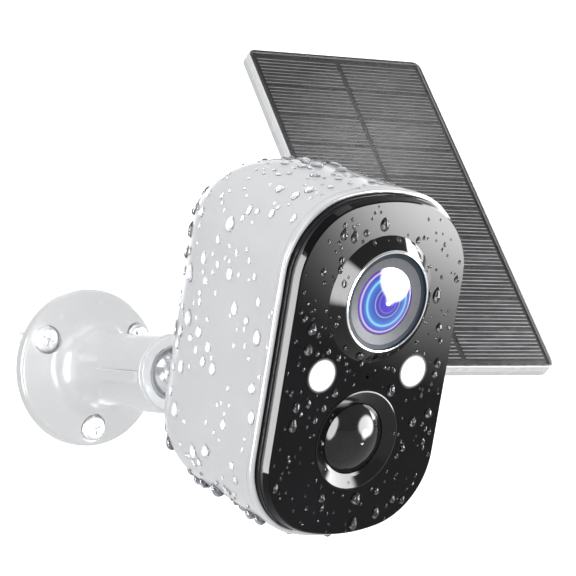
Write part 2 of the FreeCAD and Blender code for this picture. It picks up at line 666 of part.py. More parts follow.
def housing_shell():
    """The white housing with its screw bosses, mounting boss, service opening and speaker holes."""
    outside = housing_solid(0)
    rim = dim("rim_out")
    shell = outside.cut(housing_solid(dim("shell_wall"), ahead=3.0))
    mouth = slab(dim("half_wide") - dim("rim_wall"), dim("half_tall") - dim("rim_wall"), rim - 4.5, rim + 2)
    shell = shell.cut(mouth)
    ribs = []
    for x, y in boss_places():
        ribs.append(rod(x, y, 3.2, 57, dim("chassis_out")))
        ribs.append(box(min(x, 1.45 * x), max(x, 1.45 * x), y - 1, y + 1, 57, dim("chassis_out")))
    ribs.append(rod(0, dim("speaker_up"), dim("speaker_radius") + 1.5, 15, 30))
    ribs.append(rod(0, 0, 8.0, 15, dim("insert_face") + dim("insert_long") + 2))
    for rib in ribs:
        shell = shell.fuse(rib.common(outside))
    shell = shell.fuse(rod(0, 0, 8.0, dim("insert_face"), dim("insert_face") + 6))
    shell = shell.cut(rod(0, 0, dim("insert_radius"), 10, dim("insert_face") + dim("insert_long")))
    for x, y in boss_places():
        shell = shell.cut(rod(x, y, 1.2, dim("chassis_out") - 9, dim("chassis_out") + 1))
    shell = shell.cut(rod(0, dim("speaker_up"), dim("speaker_radius") - 1, 22.3, 31))
    shell = shell.cut(rod(0, dim("speaker_up"), dim("speaker_radius") + 0.05, 27, 31))
    holes = [(0.0, 0.0)] + [(dim("sound_circle"), 2 * math.pi * k / SOUND_HOLES) for k in range(SOUND_HOLES)]
    for reach, angle in holes:
        shell = shell.cut(rod(reach * math.cos(angle), dim("speaker_up") + reach * math.sin(angle),
                              dim("sound_hole"), 12, 24))
    half = dim("port_wide") / 2
    near = dim("port_back")
    shell = shell.cut(box(-half, half, -30, -12, near, near + dim("port_long")))
    shell = shell.removeSplitter()
    for radius, outer in ((dim("rim_shoulder"), True), (dim("rim_round"), False)):
        edges = [edge for edge in shell.Edges
                 if at_height(rim)(edge) and on_outline(edge, dim("half_wide"), dim("half_tall")) == outer]
        shell = shell.makeFillet(radius, edges)
    seam = rim - dim("seam_behind")
    wide, tall = dim("half_wide"), dim("half_tall")
    groove = slab(wide + 1, tall + 1, seam, seam + dim("seam_wide"))
    inset = dim("seam_deep")
    shell = shell.cut(groove.cut(slab(wide - inset, tall - inset, seam - 1, seam + 1)))
    formed("housing_shell", shell, HEAD)


def port_cover():
    """The service flap: a patch of the housing's own surface, hinged along its rear edge."""
    gap = dim("flap_gap")
    half = dim("port_wide") / 2 - gap
    near = dim("port_back") + gap
    far = dim("port_back") + dim("port_long") - gap
    skin = housing_solid(0).cut(housing_solid(dim("flap_thick"), ahead=3.0))
    flap = skin.common(box(-half, half, -30, -5, near, far))
    formed("port_cover", flap, HEAD)


# ---------------------------------------------------------------- face of the camera
def face_plate():
    """The glossy black face with a bevelled edge and openings for the optics."""
    low = dim("face_out") - dim("face_thick")
    wide = dim("half_wide") - dim("rim_wall") - 0.2
    tall = dim("half_tall") - dim("rim_wall") - 0.2
    bevel = dim("face_bevel")
    edge = dim("face_edge")
    high = dim("face_out")
    plate = Part.makeLoft([outline(wide, tall, low), outline(wide - bevel, tall - bevel, high - edge),
                           outline(wide - bevel - edge, tall - bevel - edge, high)], True, True)
    holes = [rod(0, dim("lens_up"), dim("bezel_spigot") + 0.05, low - 1, low + 9),
             rod(0, dim("pir_up"), dim("pir_radius") + 0.05, low - 1, low + 9),
             rod(0, dim("mic_up"), dim("mic_radius"), low - 1, low + 9)]
    for side in (-1, 1):
        holes.append(rod(side * dim("led_right"), dim("led_up"), dim("led_radius") + 0.05, low - 1, low + 9))
    for hole in holes:
        plate = plate.cut(hole)
    formed("face_plate", plate, HEAD)


def trim_ring():
    """The black band between the white rim and the face."""
    wide = dim("half_wide") - dim("rim_wall") - dim("trim_gap")
    tall = dim("half_tall") - dim("rim_wall") - dim("trim_gap")
    high = dim("face_out") - dim("face_thick")
    low = high - dim("trim_deep")
    wall = dim("trim_wall")
    edge = dim("face_edge")
    top = Part.makeLoft([outline(wide, tall, high - edge), outline(wide - edge, tall - edge, high)],
                        True, True)
    ring = slab(wide, tall, low, high - edge).fuse(top).removeSplitter()
    ring = ring.cut(slab(wide - wall, tall - wall, low - 1, high + 1))
    formed("trim_ring", ring, HEAD)
    seal_low = low - 1.0
    seal = slab(wide, tall, seal_low, low).cut(slab(wide - wall, tall - wall, seal_low - 1, low + 1))
    formed("face_gasket", seal, HEAD)


def at_lens():
    return HEAD * moved(0, dim("lens_up"), 0)


def lens_pieces():
    """Bezel, silver ring, slate ring, barrel, glasses, holder, image sensor and its board."""
    face = "face_out"
    top = "face_out + bezel_rise"
    finish(turned_body("lens_bezel", [
        ("ring_bore", "face_out - 6"), ("bezel_spigot", "face_out - 6"), ("bezel_spigot", face),
        ("bezel_radius", face), ("ring_radius + 0.3", top), ("ring_radius + 0.02", top),
        ("ring_radius + 0.02", top + " - 0.8"), ("ring_bore", top + " - 0.8")]), "lens_bezel", at_lens())
    finish(turned_body("lens_silver_ring", [
        ("ring_bore", top + " - 0.8"), ("ring_radius", top + " - 0.8"), ("ring_radius", top + " + 0.1"),
        ("ring_radius - 0.25", top + " + 0.3"), ("ring_bore", top + " + 0.1")]),
        "lens_silver_ring", at_lens())
    finish(turned_body("lens_slate_ring", [
        ("slate_bore", "face_out - 2"), ("ring_bore - 0.02", "face_out - 2"),
        ("ring_bore - 0.02", top + " - 0.3"), ("slate_bore", top + " - 0.5")]),
        "lens_slate_ring", at_lens())
    finish(turned_body("lens_barrel", [
        ("7", "board_out - 2"), ("9.4", "board_out - 2"), ("9.4", "board_out + 4"),
        ("slate_bore - 0.02", "board_out + 4"), ("slate_bore - 0.02", top + " - 0.5"),
        ("grey_bore", top + " - 1.1"), ("grey_bore", "face_out - 4"), ("7", "face_out - 6")]),
        "lens_barrel", at_lens())
    glass_low = "face_out + bezel_rise - 3"
    dome = doc.addObject("Part::Sphere", "GlassDome")
    bind(dome, Radius="(glass_radius^2 + glass_bulge^2) / (2 * glass_bulge)")
    dome.setExpression("Placement.Base.z", linked(
        glass_low + " + 1.8 + glass_bulge - (glass_radius^2 + glass_bulge^2) / (2 * glass_bulge)"))
    edge = doc.addObject("Part::Cylinder", "GlassEdge")
    bind(edge, Radius="glass_radius", Height="8")
    edge.setExpression("Placement.Base.z", linked(glass_low))
    glass = doc.addObject("Part::Common", "GlassShape")
    glass.Base = dome
    glass.Tool = edge
    finish(glass, "lens_front_glass", at_lens())
    finish(disc_body("lens_inner_glass", "0", "0", "6.9", "board_out + 2", "2.5"),
           "lens_inner_glass", at_lens())
    board = block_body("sensor_board", "0", "0", "26", "26", "chassis_out - 5", "board_thick")
    finish(board, "sensor_board", at_lens())
    finish(block_body("image_sensor", "0", "0", "8", "7", "chassis_out - 5 + board_thick", "1.1"),
           "image_sensor", at_lens())
    holder = block_body("lens_holder", "0", "0", "21", "21", "chassis_out - 5 + board_thick", "9.3")
    drill(holder, [("0", "0", "8.6")], "board_out - 2", "10")
    finish(holder, "lens_holder", at_lens())


def pir_pieces():
    """Funnel, dome and sensor can of the motion detector."""
    place = HEAD * moved(0, dim("pir_up"), 0)
    foot = "face_out - dome_deep"
    finish(turned_body("pir_bezel", [
        ("pir_bore", "face_out - 5"), ("pir_radius", "face_out - 5"), ("pir_radius", "face_out + 0.15"),
        ("pir_radius - 0.35", "face_out + 0.25"), ("pir_bore + 0.9", foot + " + 0.35"), ("pir_bore", foot)]),
        "pir_bezel", place)
    sphere = (dim("dome_radius") ** 2 + dim("dome_height") ** 2) / (2 * dim("dome_height"))
    foot_z = dim("face_out") - dim("dome_deep")
    centre = Vector(0, 0, foot_z + dim("dome_height") - sphere)
    radius, wall = dim("dome_radius"), dim("dome_wall")
    outer = Part.makeSphere(sphere, centre).common(rod(0, 0, radius, foot_z, foot_z + 20))
    outer = outer.fuse(rod(0, 0, radius, foot_z - 2.5, foot_z))
    hollow = Part.makeSphere(sphere - wall, centre).common(rod(0, 0, radius - wall, foot_z, foot_z + 20))
    hollow = hollow.fuse(rod(0, 0, radius - wall, foot_z - 3, foot_z))
    formed("pir_dome", outer.cut(hollow).removeSplitter(), place)
    can = disc_body("pir_sensor", "0", "0", "4.6", "board_out + board_thick", "0.6")
    primitive(can, "AdditiveCylinder", z="board_out + board_thick", Radius="4.1", Height="4.2")
    finish(can, "pir_sensor", place)


def light_pieces():
    """White light windows with their reflectors and emitters."""
    for side, name in ((-1, "left"), (1, "right")):
        place = HEAD * moved(side * dim("led_right"), dim("led_up"), 0)
        window = disc_body("led_window_" + name, "0", "0", "led_radius", "face_out - 2.4", "2.5")
        finish(window, "led_window_" + name, place)
        back, front = "board_out + board_thick + 0.05", "face_out - face_thick - 0.4"
        finish(turned_body("led_reflector_" + name, [
            ("2.2", back), ("3.2", back), ("led_radius + 0.6", front), ("led_radius - 0.4", front)]),
            "led_reflector_" + name, place)
    spots = [(side * dim("led_right"), dim("led_up")) for side in (-1, 1)]
    low = dim("board_out") + dim("board_thick")
    chips = [box(x - 1.5, x + 1.5, y - 1.5, y + 1.5, low, low + 0.8) for x, y in spots]
    formed("led_chips", Part.makeCompound(chips), HEAD)


def front_board():
    """The board behind the face, with a hole for the lens barrel, and the microphone on it."""
    low = dim("board_out")
    high = low + dim("board_thick")
    board = slab(26.0, 45.0, low, high).cut(rod(0, dim("lens_up"), 10.2, low - 1, high + 1))
    for x, y in boss_places():
        board = board.cut(rod(x, y, 2.6, low - 1, high + 1))
    formed("front_board", board, HEAD)
    microphone = block_body("microphone", "0", "mic_up", "3.8", "3", "board_out + board_thick", "1.2")
    finish(microphone, "microphone", HEAD)


# ---------------------------------------------------------------- inside of the camera
def chassis():
    """The inner plate that carries boards and optics, with posts for the front board."""
    low = dim("chassis_out")
    high = low + dim("chassis_thick")
    plate = slab(26.5, 45.5, low, high)
    for side in (-1, 1):
        for level in (-18.0, 14.0):
            plate = plate.fuse(rod(side * 22.5, dim("head_up") + level, 2.2, high, dim("board_out")))
    lens = dim("lens_up")
    plate = plate.cut(box(-11, 11, lens - 11, lens + 11, low - 1, high + 1))
    for x, y in boss_places():
        plate = plate.cut(rod(x, y, 1.7, low - 1, high + 1))
    formed("inner_chassis", plate.removeSplitter(), HEAD)
    seat = high
    screws = []
    for x, y in boss_places():
        screw = pan_screw(1.15, seat - 10, 2.4, 1.6, seat)
        screws.append(screw.translate(Vector(x, y, 0)))
    formed("housing_screws", Part.makeCompound(screws), HEAD)


def boards_and_battery():
    """Main board with its shield, antenna, two cells in a cradle, loudspeaker."""
    finish(block_body("main_board", "0", "30", "34", "66", "main_out", "board_thick"), "main_board", HEAD)
    shield = block_body("processor_shield", "0", "16", "24", "24", "main_out + board_thick", "2.6")
    round_edges(shield, 0.8, upright)
    finish(shield, "processor_shield", HEAD)
    finish(block_body("antenna", "0", "69", "24", "5", "chassis_out - 0.8", "0.8"), "antenna", HEAD)
    for side, name in ((-1, "left"), (1, "right")):
        middle = dim("head_up") + 1.0
        place = (HEAD * moved(side * dim("cell_right"), middle - dim("cell_long") / 2, dim("cell_out"))
                 * turned_about(X_AXIS, -90))
        cell = disc_body("battery_cell_" + name, "0", "0", "cell_radius", "0", "cell_long")
        primitive(cell, "AdditiveCylinder", z="cell_long", Radius="2.6", Height="0.6")
        round_edges(cell, 0.5, lambda edge: edge.Length > 50 and upright(edge) is False)
        finish(cell, "battery_cell_" + name, place)
    cradle = block_body("battery_cradle", "0", "head_up + 1.3", "40", "cell_long + 3.6",
                        "cell_out + cell_radius + 0.1", "1.6")
    primitive(cradle, "AdditiveBox", x="-19", y="head_up + 1.3 - (cell_long + 3.6)/2", z="cell_out - 3",
              Length="38", Width="1.2", Height="cell_radius + 3.2")
    primitive(cradle, "AdditiveBox", x="-19", y="head_up + 1.3 + (cell_long + 3.6)/2 - 1.2", z="cell_out - 3",
              Length="38", Width="1.2", Height="cell_radius + 3.2")
    finish(cradle, "battery_cradle", HEAD)
    cone = turned_body("speaker", [
        ("0", "29.5"), ("2.5", "29.5"), ("5", "28.2"), ("speaker_radius - 1.4", "27.1"),
        ("speaker_radius", "27.1"), ("speaker_radius", "30"), ("6", "31"), ("6", "33"), ("0", "33")])
    finish(cone, "speaker", HEAD * moved(0, dim("speaker_up"), 0))


def service_ports():
    """The block behind the flap with charging socket, card slot and two buttons, all facing down."""
    place = HEAD * moved(0, -dim("port_block_down"), dim("port_back") + 8) * turned_about(X_AXIS, -90)
    block = block_body("port_block", "0", "0", "21.6", "15.4", "0", "9.3")
    primitive(block, "SubtractiveBox", x="usb_x - 4.5", y="usb_y - 1.75", z="-1",
              Length="9", Width="3.5", Height="11")
    primitive(block, "SubtractiveBox", x="card_x - 6.35", y="card_y - 1.25", z="-1",
              Length="12.7", Width="2.5", Height="11")
    drill(block, [("reset_x", "usb_y", "reset_radius + 0.15"), ("power_x", "card_y", "power_radius + 0.15")],
          "9.3", "9.3")
    finish(block, "port_block", place)
    socket = block_body("usb_socket", "usb_x", "usb_y", "8.9", "3.3", "0.2", "7.6")
    round_edges(socket, 0.9, upright)
    primitive(socket, "SubtractiveBox", x="usb_x - 3.9", y="usb_y - 1.25", z="0",
              Length="7.8", Width="2.5", Height="6.6")
    primitive(socket, "AdditiveBox", x="usb_x - 3.3", y="usb_y - 0.35", z="1.2",
              Length="6.6", Width="0.7", Height="5.8")
    finish(socket, "usb_socket", place)
    slot = block_body("card_slot", "card_x", "card_y", "12.5", "2.3", "0.4", "14")
    primitive(slot, "SubtractiveBox", x="card_x - 5.65", y="card_y - 0.65", z="0",
              Length="11.3", Width="1.3", Height="14")
    finish(slot, "card_slot", place)
    card = block_body("memory_card", "card_x", "card_y", "11", "1", "-0.3", "13.7")
    round_edges(card, 0.8, lambda edge: not upright(edge) and edge.BoundBox.YLength > 0.9)
    finish(card, "memory_card", place)
    for name, x, y in (("reset", "reset_x", "usb_y"), ("power", "power_x", "card_y")):
        button = disc_body(name + "_button", "0", "0", name + "_radius", "-0.4", "9.2")
        round_edges(button, 0.4, at_height(-0.4))
        finish(button, name + "_button", place * moved(dim(x), dim(y), 0))


# ---------------------------------------------------------------- solar panel
def panel_pieces():
    """Frame, back sheet, two strings of cells, clear cover and the junction box behind."""
    frame = block_body("panel_frame", "0", "0", "panel_wide", "panel_tall", "panel_back", "panel_thick")
    front = "panel_back + panel_thick"
    round_edges(frame, "panel_corner", upright)
    front_z = dim("panel_back") + dim("panel_thick")
    in_front, behind = at_height(front_z), at_height(dim("panel_back"))
    round_edges(frame, "panel_edge", lambda edge: in_front(edge) or behind(edge))
    primitive(frame, "SubtractiveBox",
              x="panel_rim - panel_wide/2", y="panel_rim - panel_tall/2", z=front + " - laminate_deep",
              Length="panel_wide - 2*panel_rim", Width="panel_tall - 2*panel_rim", Height="laminate_deep + 1")
    drill(frame, [("0", "0", "stud_radius + 0.3")], "panel_back + 2.6", "2.6")
    finish(frame, "panel_frame", PANEL)
    wide = "panel_wide - 2*panel_rim - 0.1"
    tall = "panel_tall - 2*panel_rim - 0.1"
    finish(block_body("panel_backsheet", "0", "0", wide, tall, front + " - laminate_deep", "0.7"),
           "panel_backsheet", PANEL)
    low = front_z - dim("laminate_deep") + 0.7
    inner_wide = dim("panel_wide") - 2 * dim("panel_rim") - 2 * dim("cell_margin")
    inner_tall = dim("panel_tall") - 2 * dim("panel_rim") - 2 * dim("cell_margin")
    cell_wide = (inner_wide - dim("cell_gap")) / 2
    pitch = inner_tall / CELLS_PER_STRING
    cell_tall = pitch - dim("cell_pitch_gap")
    for side, name in ((-1, "left"), (1, "right")):
        x_low = dim("cell_gap") / 2 if side > 0 else -dim("cell_gap") / 2 - cell_wide
        cells = []
        for k in range(CELLS_PER_STRING):
            y_low = -inner_tall / 2 + pitch * k + dim("cell_pitch_gap") / 2
            cells.append(box(x_low, x_low + cell_wide, y_low, y_low + cell_tall, low, low + 0.25))
        formed("solar_cells_" + name, Part.makeCompound(cells), PANEL)
    finish(block_body("panel_cover_sheet", "0", "0", wide, tall, front + " - laminate_deep + 0.95", "0.5"),
           "panel_cover_sheet", PANEL)
    junction = block_body("junction_box", "0", "0", "box_wide", "box_tall",
                          "panel_back - box_deep", "box_deep")
    round_edges(junction, 3, upright)
    drill(junction, [("0", "0", "insert_bore")], "panel_back", "box_deep")
    primitive(junction, "SubtractiveCylinder", x="8", y="-box_tall/2 - 1", z="panel_back - box_deep/2",
              turn=Rotation(X_AXIS, -90), Radius="1.4", Height="6")
    finish(junction, "junction_box", PANEL)


def build():
    camera_base()
    wall_screws("camera_wall_screws", BASE)
    collar("camera_collar", SOCKET * turned_about(Z_AXIS, dim("tab_drop")), True)
    lock_tab()
    liner("camera_ball_liner", LINER)
    ball_stud("camera_ball_stud", "insert_face + insert_long", HEAD)
    lock_nut("camera_lock_nut", dim("insert_face") - dim("nut_thick"), HEAD)
    housing_shell()
    finish(turned_body("mount_insert", [
        ("insert_bore", "insert_face"), ("insert_radius - 0.02", "insert_face"),
        ("insert_radius - 0.02", "insert_face + insert_long - 0.1"),
        ("insert_bore", "insert_face + insert_long - 0.1")]), "mount_insert", HEAD)
    face_plate()
    trim_ring()
    lens_pieces()
    pir_pieces()
    light_pieces()
    front_board()
    chassis()
    boards_and_battery()
    service_ports()
    port_cover()
    panel_base()
    wall_screws("panel_wall_screws", PANEL_BASE)
    collar("panel_collar", PANEL_SOCKET, False)
    liner("panel_ball_liner", PANEL_LINER)
    ball_stud("panel_ball_stud", "panel_back + 2.0", PANEL)
    lock_nut("panel_lock_nut", dim("panel_back") - dim("box_deep") - dim("nut_thick"), PANEL)
    panel_pieces()


def write():
    """Check every object, then write one STEP file for each piece."""
    doc.recompute()
    for item in doc.Objects:
        if "Invalid" in item.State or "Error" in item.State:
            raise RuntimeError("%s is not valid: %s" % (item.Label, item.State))
    os.makedirs("parts", exist_ok=True)
    for piece in pieces:
        shape = piece.Shape
        if shape.isNull() or not shape.isValid() or not shape.Solids:
            raise RuntimeError("%s has no valid solid" % piece.Label)
        shape.exportStep("parts/%s.step" % piece.Label)
        print("%-22s %3d solid(s) %10.1f mm3" % (piece.Label, len(shape.Solids), shape.Volume))
    print(len(pieces), "pieces")


build()
write()
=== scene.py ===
import json
import math
import random

import bpy
from mathutils import Matrix, Vector
from mathutils.bvhtree import BVHTree


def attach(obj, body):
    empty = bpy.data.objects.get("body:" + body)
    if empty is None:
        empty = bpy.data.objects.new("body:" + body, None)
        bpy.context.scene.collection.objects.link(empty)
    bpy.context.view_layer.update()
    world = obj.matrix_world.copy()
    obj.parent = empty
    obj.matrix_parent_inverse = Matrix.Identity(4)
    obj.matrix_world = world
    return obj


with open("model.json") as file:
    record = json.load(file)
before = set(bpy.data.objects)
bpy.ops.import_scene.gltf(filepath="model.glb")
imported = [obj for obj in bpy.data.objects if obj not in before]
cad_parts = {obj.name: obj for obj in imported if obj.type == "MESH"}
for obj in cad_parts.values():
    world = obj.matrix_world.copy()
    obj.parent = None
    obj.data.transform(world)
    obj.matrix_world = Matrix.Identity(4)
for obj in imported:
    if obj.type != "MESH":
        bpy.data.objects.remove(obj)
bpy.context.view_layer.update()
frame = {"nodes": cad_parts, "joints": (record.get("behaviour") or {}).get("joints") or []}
NODES = frame["nodes"]
JOINTS = {joint["name"]: joint for joint in frame["joints"]}
MM = 0.001


# ---------------------------------------------------------------- local frames
def basis(origin, across, outwards):
    """A rigid frame whose X runs across and Z outwards."""
    z = Vector(outwards).normalized()
    x = Vector(across).normalized()
    y = z.cross(x)
    turn = Matrix((x, y, z)).transposed().to_4x4()
    return Matrix.Translation(Vector(origin)) @ turn


HEAD_AXIS = Vector(JOINTS["camera_roll"]["axis"])
HEAD = basis(JOINTS["camera_tilt"]["pos_m"], JOINTS["camera_tilt"]["axis"], HEAD_AXIS)
PANEL_TWIST = math.radians(-2.2)
PANEL_AXIS = Vector(JOINTS["panel_roll"]["axis"])
PANEL_ACROSS = Matrix.Rotation(PANEL_TWIST, 3, PANEL_AXIS) @ Vector(JOINTS["panel_tilt"]["axis"])
PANEL = basis(JOINTS["panel_tilt"]["pos_m"], PANEL_ACROSS, PANEL_AXIS)

# Dimensions of the camera head in the HEAD frame, millimetres
FACE_OUT = 92.3
RIM_OUT = 87.3
HEAD_UP = 29.4
LENS_UP = 49.7
GLASS_RADIUS = 9.5
RING_RADIUS = 14.31
SILVER_WIDE = 0.52
BARREL_RADII = (7.0, 12.3)
BEVEL_DEEP = 2.1
LED_RIGHT = 16.46
LED_UP = 28.46
LED_RADIUS = 5.06
LED_SHADE = 1.1
BOSS_OUT = 22.0
BOSS_CLEAR = 16.0
# Dimensions of the panel in the PANEL frame, millimetres
PANEL_FRONT = 24.0
PANEL_INNER = (64.1, 122.9)
STRING_GAP = 2.0
CELL_GAP = 0.7
CELLS = 10
FINGERS = 8
FINGER_DEPTH = 0.57
FINGER_THICK = 0.04
FINGER_WIDE = 0.32
# The photograph's viewpoint: metres, and degrees for its bearing, rise and roll
CAMERA_PLACE = (-0.40341, -0.69538, 0.0397)
CAMERA_BEARING = -124.788
CAMERA_RISE = 1.051
CAMERA_ROLL = -0.388
# Colours and water
SLATE = (0.03, 0.042, 0.06)
SHELL_DROPS = 620
SHELL_DROP_RADII = (0.45, 1.75)
FACE_DROPS = 230
FACE_DROP_RADII = (0.3, 1.45)


def head_point(x, y, z):
    """A place given in millimetres in the HEAD frame."""
    return HEAD @ Vector((x * MM, y * MM, z * MM))


# ---------------------------------------------------------------- camera
def make_camera():
    """A long lens at the photograph's viewpoint."""
    data = bpy.data.cameras.new("photo_camera")
    camera = bpy.data.objects.new("photo_camera", data)
    bpy.context.scene.collection.objects.link(camera)
    bearing = math.radians(CAMERA_BEARING)
    rise = math.radians(CAMERA_RISE)
    level = math.cos(rise)
    back = Vector((level * math.cos(bearing), level * math.sin(bearing), math.sin(rise)))
    right = Matrix.Rotation(math.radians(CAMERA_ROLL), 3, back) @ Vector((0, 0, 1)).cross(back)
    camera.matrix_world = basis(CAMERA_PLACE, right, back)
    data.lens = 156.25
    data.sensor_width = 36.0
    data.clip_start = 0.01
    data.clip_end = 20.0
    bpy.context.scene.camera = camera


# ---------------------------------------------------------------- material building blocks
class Surface:
    """A node tree around one Principled shader."""

    def __init__(self, name, **sockets):
        self.material = bpy.data.materials.new(name)
        self.material.use_nodes = True
        self.nodes = self.material.node_tree.nodes
        self.links = self.material.node_tree.links
        self.shader = self.nodes["Principled BSDF"]
        for socket, value in sockets.items():
            key = socket.replace("_", " ")
            self.shader.inputs[key].default_value = value
        self.place = self.add("ShaderNodeTexCoord").outputs["Object"]

    def add(self, kind, **settings):
        """A new node with its settings."""
        node = self.nodes.new(kind)
        for key, value in settings.items():
            setattr(node, key, value)
        return node

    def wire(self, source, node, socket):
        self.links.new(source, node.inputs[socket])

    def to_shader(self, source, socket):
        self.links.new(source, self.shader.inputs[socket])

    def noise(self, scale, detail=2.0, rough=0.5, stretch=None):
        """Soft noise through the piece, stretched along some axes if asked."""
        node = self.add("ShaderNodeTexNoise")
        node.inputs["Scale"].default_value = scale
        node.inputs["Detail"].default_value = detail
        node.inputs["Roughness"].default_value = rough
        place = self.place
        if stretch:
            mapping = self.add("ShaderNodeMapping")
            mapping.inputs["Scale"].default_value = stretch
            self.wire(place, mapping, "Vector")
            place = mapping.outputs["Vector"]
        self.wire(place, node, "Vector")
        return node.outputs["Fac"]

    def ramp(self, source, stops):
        """A colour for each stretch of a value, blended between the stops."""
        node = self.add("ShaderNodeValToRGB")
        ramp = node.color_ramp
        while len(ramp.elements) < len(stops):
            ramp.elements.new(0.5)
        for element, (position, colour) in zip(ramp.elements, stops):
            element.position = position
            element.color = (*colour, 1.0)
        self.wire(source, node, "Fac")
        return node.outputs["Color"]

    def tones(self, source, dark, light):
        """The base colour, uneven between two tones."""
        self.to_shader(self.ramp(source, [(0.3, dark), (0.7, light)]), "Base Color")

    def gloss(self, source, low, high):
        """The roughness, uneven between two values."""
        self.to_shader(self.span(source, 0.3, 0.7, low, high), "Roughness")

    def span(self, source, from_low, from_high, low, high):
        """A value carried over from one range to another, and clamped."""
        node = self.add("ShaderNodeMapRange")
        limits = (("From Min", from_low), ("From Max", from_high), ("To Min", low), ("To Max", high))
        for socket, value in limits:
            node.inputs[socket].default_value = value
        self.wire(source, node, "Value")
        return node.outputs["Result"]

    def maths(self, operation, first, second):
        node = self.add("ShaderNodeMath", operation=operation)
        for index, value in enumerate((first, second)):
            if isinstance(value, (int, float)):
                node.inputs[index].default_value = value
            else:
                self.links.new(value, node.inputs[index])
        return node.outputs["Value"]

    def blend(self, share, first, second):
        """A mix of two colours. A colour mix has its colours on inputs 6 and 7."""
        node = self.add("ShaderNodeMix", data_type="RGBA")
        for index, source in ((0, share), (6, first), (7, second)):
            self.links.new(source, node.inputs[index])
        return node.outputs[2]

    def bump(self, height, strength, distance):
        """A fine relief, its depth in metres."""
        node = self.add("ShaderNodeBump")
        node.inputs["Strength"].default_value = strength
        node.inputs["Distance"].default_value = distance
        self.wire(height, node, "Height")
        self.to_shader(node.outputs["Normal"], "Normal")

    def offset(self, origin):
        """The way from a point to the place being shaded, in metres."""
        node = self.add("ShaderNodeVectorMath", operation="SUBTRACT")
        self.wire(self.place, node, 0)
        node.inputs[1].default_value = origin
        return node.outputs["Vector"]

    def along(self, origin, axis):
        """Distance along an axis from a point, in metres."""
        dot = self.add("ShaderNodeVectorMath", operation="DOT_PRODUCT")
        self.wire(self.offset(origin), dot, 0)
        dot.inputs[1].default_value = axis
        return dot.outputs["Value"]

    def radial(self, origin, axis):
        """Distance from an axis, in metres."""
        cross = self.add("ShaderNodeVectorMath", operation="CROSS_PRODUCT")
        self.wire(self.offset(origin), cross, 0)
        cross.inputs[1].default_value = axis
        length = self.add("ShaderNodeVectorMath", operation="LENGTH")
        self.wire(cross.outputs["Vector"], length, 0)
        return length.outputs["Value"]


def scaled(colour, share):
    """A colour made darker by a share."""
    return tuple(channel * share for channel in colour)


def moulded(name, colour, rough, tone=0.05, grain=900.0, depth=0.00001, **sockets):
    """Moulded plastic, rubber or enamel: faint mottling, uneven gloss and a fine grain."""
    surface = Surface(name, **sockets)
    mottle = surface.noise(70.0, 3.0)
    surface.to_shader(surface.ramp(mottle, [(0.25, scaled(colour, 1 - tone)), (0.75, colour)]), "Base Color")
    surface.gloss(surface.noise(260.0, 2.0), rough * 0.85, rough * 1.15)
    surface.bump(surface.noise(grain, 3.0), 0.25, depth)
    return surface.material


def turned_metal(name, colour, rough, origin, axis, **sockets):
    """Turned metal: fine circular tool marks around an axis."""
    surface = Surface(name, Metallic=1.0, **sockets)
    rings = surface.radial(origin, axis)
    marks = surface.add("ShaderNodeTexNoise", noise_dimensions="1D")
    surface.wire(surface.maths("MULTIPLY", rings, 9000.0), marks, "W")
    marks.inputs["Scale"].default_value = 1.0
    surface.tones(surface.noise(180.0, 3.0), scaled(colour, 0.86), colour)
    surface.gloss(marks.outputs["Fac"], rough * 0.7, rough * 1.3)
    surface.bump(marks.outputs["Fac"], 0.2, 0.00002)
    return surface.material


def dress(node, material):
    """Give a carried-over piece its material."""
    slots = NODES[node].material_slots
    for slot in slots:
        slot.material = material
    if not slots:
        NODES[node].data.materials.append(material)


# ---------------------------------------------------------------- materials of the carried-over pieces
def dress_mounts():
    """The two wall bases, their balls and studs, and the screws."""
    white = moulded("mount_white", (0.83, 0.84, 0.85), 0.24, tone=0.03, grain=1500.0,
                    Coat_Weight=0.35, Coat_Roughness=0.12)
    collar = moulded("collar_white", (0.84, 0.85, 0.86), 0.2, tone=0.03, grain=1500.0,
                     Coat_Weight=0.4, Coat_Roughness=0.1)
    for node in ("camera_wall_base", "panel_wall_base"):
        dress(node, white)
    for node in ("camera_collar", "panel_collar", "camera_lock_tab"):
        dress(node, collar)
    nylon = moulded("liner_nylon", (0.6, 0.61, 0.63), 0.45, tone=0.08)
    for node in ("camera_ball_liner", "panel_ball_liner"):
        dress(node, nylon)
    steel = (0.78, 0.79, 0.81)
    dress("camera_ball_stud", turned_metal("stud_steel", steel, 0.16, HEAD.translation, HEAD_AXIS))
    dress("panel_ball_stud", turned_metal("panel_stud_steel", steel, 0.16, PANEL.translation, PANEL_AXIS))
    nut = moulded("nut_steel", (0.62, 0.63, 0.65), 0.3, tone=0.15, Metallic=1.0)
    for node in ("camera_lock_nut", "panel_lock_nut"):
        dress(node, nut)
    screw = Surface("screw_steel", Metallic=1.0)
    wear = screw.noise(700.0, 4.0, stretch=(1.0, 6.0, 1.0))
    screw.tones(wear, (0.66, 0.66, 0.67), (0.84, 0.84, 0.85))
    screw.gloss(wear, 0.34, 0.5)
    screw.bump(wear, 0.15, 0.00002)
    for node in ("camera_wall_screws", "panel_wall_screws"):
        dress(node, screw.material)
    brass = turned_metal("insert_brass", (0.72, 0.53, 0.24), 0.3, HEAD.translation, HEAD_AXIS)
    dress("mount_insert", brass)


def dress_shell():
    """The glossy white housing and the soft flap over its sockets."""
    shell = moulded("housing_white", (0.84, 0.85, 0.87), 0.2, tone=0.04, grain=1800.0, depth=0.000006,
                    Coat_Weight=0.5, Coat_Roughness=0.06)
    dress("housing_shell", shell)
    dress("port_cover", moulded("flap_rubber", (0.8, 0.81, 0.82), 0.42, tone=0.05, grain=1400.0))


